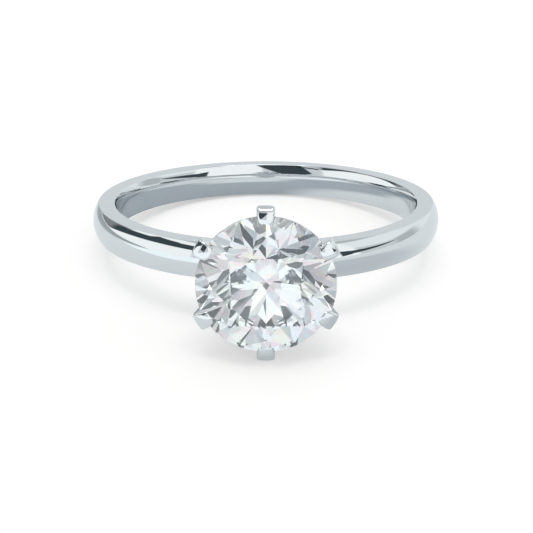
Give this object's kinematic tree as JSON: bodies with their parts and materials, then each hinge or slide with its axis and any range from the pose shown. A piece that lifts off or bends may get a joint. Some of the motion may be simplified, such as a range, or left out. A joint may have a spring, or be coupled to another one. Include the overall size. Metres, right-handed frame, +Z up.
{
  "type": "engagement ring",
  "caption": "Solitaire finger ring: a slim court-section polished white metal band with a claw head holding a round brilliant colourless stone, lying on its side.",
  "frame": {"origin": "centre of the resting ring's footprint, on the surface that it lies on", "axes": "+Z up from that surface; the stone faces -Y, tipped 7.6 degrees up; +X to the right seen from the stone; the finger hole's axis leans 7.6 degrees from +Z towards +Y"},
  "size_m": [0.0192, 0.0236, 0.0077],
  "materials": {
    "band_metal": "mirror-polished platinum",
    "head_metal": "mirror-polished platinum",
    "stone": "faceted colourless diamond, refractive index 2.42"
  },
  "bodies": {
    "ring": {"shank": "band_metal", "base_rail": "head_metal", "gallery_rail": "head_metal", "claw_1": "head_metal", "claw_2": "head_metal", "claw_3": "head_metal", "claw_4": "head_metal", "claw_5": "head_metal", "claw_6": "head_metal", "diamond": "stone"}
  },
  "joints": []
}
